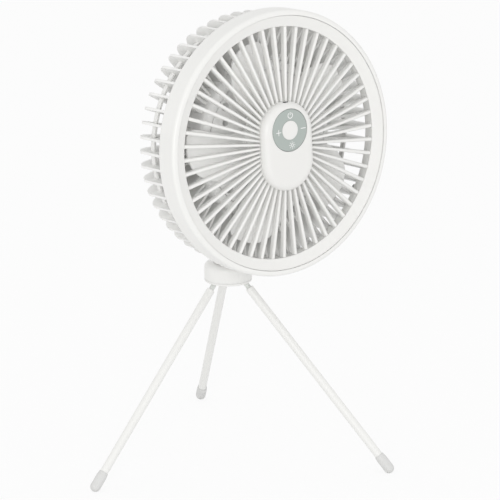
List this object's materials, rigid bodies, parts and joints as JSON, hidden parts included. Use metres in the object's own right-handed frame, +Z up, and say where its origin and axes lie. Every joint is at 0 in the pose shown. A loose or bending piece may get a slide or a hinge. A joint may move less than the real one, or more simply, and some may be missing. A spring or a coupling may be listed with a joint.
{
  "type": "portable fan",
  "caption": "Round portable fan head with a light ring, front spokes, finned back and a key panel, tilting and turning on a small folding tripod",
  "frame": {"origin": "middle of the bottom of the whole part's bounding box, on the floor plane under the feet", "axes": "+Z up, +X to the right seen from the front, the fan blows toward -Y"},
  "size_m": [0.2346, 0.2342, 0.3631],
  "materials": {
    "shell_white": "semi-gloss white moulding",
    "impeller_white": "semi-gloss white moulding",
    "diffuser": "frosted light cover",
    "ring_grey": "satin grey key ring with white symbols",
    "circuit_board": "green circuit board",
    "led_yellow": "phosphor chip",
    "switch_black": "black switch",
    "window_dark": "dark clear window",
    "motor_steel": "plated steel can",
    "cell_wrap": "shrink wrap",
    "port_steel": "plated steel shell",
    "tube_white": "white coated tube",
    "neck_grey": "grey-green neck",
    "foot_white": "white rubber cap",
    "washer_nylon": "nylon washer",
    "screw_steel": "plated steel"
  },
  "bodies": {
    "stand": {"hub_shell": "shell_white", "hub_base": "shell_white", "leg_pins": "screw_steel", "hub_screws": "screw_steel"},
    "leg_1": {"leg_neck_1": "neck_grey", "leg_tube_1": "tube_white", "foot_cap_1": "foot_white"},
    "leg_2": {"leg_neck_2": "neck_grey", "leg_tube_2": "tube_white", "foot_cap_2": "foot_white"},
    "leg_3": {"leg_neck_3": "neck_grey", "leg_tube_3": "tube_white", "foot_cap_3": "foot_white"},
    "arm": {"tilt_arm": "shell_white", "swivel_washer": "washer_nylon", "swivel_screw": "screw_steel", "tilt_washers": "washer_nylon"},
    "keys": {"control_ring": "ring_grey", "centre_disc": "shell_white"},
    "fan": {"impeller": "impeller_white", "motor_shaft": "screw_steel"},
    "head": {"front_shell": "shell_white", "light_diffuser": "diffuser", "led_board": "circuit_board", "led_chips": "led_yellow", "front_grille": "shell_white", "panel_cover": "shell_white", "receiver_window": "window_dark", "control_board": "circuit_board", "key_switches": "switch_black", "motor_plate": "shell_white", "pod_front_cover": "shell_white", "pod_rear_cover": "shell_white", "motor_body": "motor_steel", "battery_cells": "cell_wrap", "main_board": "circuit_board", "charge_port": "port_steel", "rear_grille": "shell_white", "shell_screws": "screw_steel", "pod_screws": "screw_steel", "motor_screws": "screw_steel", "tilt_pin": "screw_steel"}
  },
  "joints": [
    {"name": "leg_fold_1", "type": "hinge", "parent": "stand", "child": "leg_1", "pos_m": [0.00884, -0.00464, 0.14641], "axis": [0.0628, -0.998, 0], "range_deg": [0, 40]},
    {"name": "leg_fold_2", "type": "hinge", "parent": "stand", "child": "leg_2", "pos_m": [0.02202, -0.01119, 0.14641], "axis": [0.8329, 0.5534, 0], "range_deg": [0, 40]},
    {"name": "leg_fold_3", "type": "hinge", "parent": "stand", "child": "leg_3", "pos_m": [0.0211, 0.0035, 0.14641], "axis": [-0.8957, 0.4446, 0], "range_deg": [0, 40]},
    {"name": "head_swivel", "type": "hinge", "parent": "stand", "child": "arm", "pos_m": [0.01732, -0.00411, 0.1559], "axis": [0, 0, 1], "range_deg": [-180, 180]},
    {"name": "head_tilt", "type": "hinge", "parent": "arm", "child": "head", "pos_m": [0.01732, -0.00481, 0.20596], "axis": [1, 0, 0], "range_deg": [-90, 8]},
    {"name": "fan_spin", "type": "hinge", "parent": "head", "child": "fan", "pos_m": [0.01732, -0.06045, 0.26261], "axis": [0, -0.9968, 0.0802], "continuous": true},
    {"name": "key_ring_press", "type": "slide", "parent": "head", "child": "keys", "axis": [0, 0.9968, -0.0802], "range_m": [0, 0.0006], "stiffness_N_per_m": 800, "springref_m": -0.0006}
  ]
}
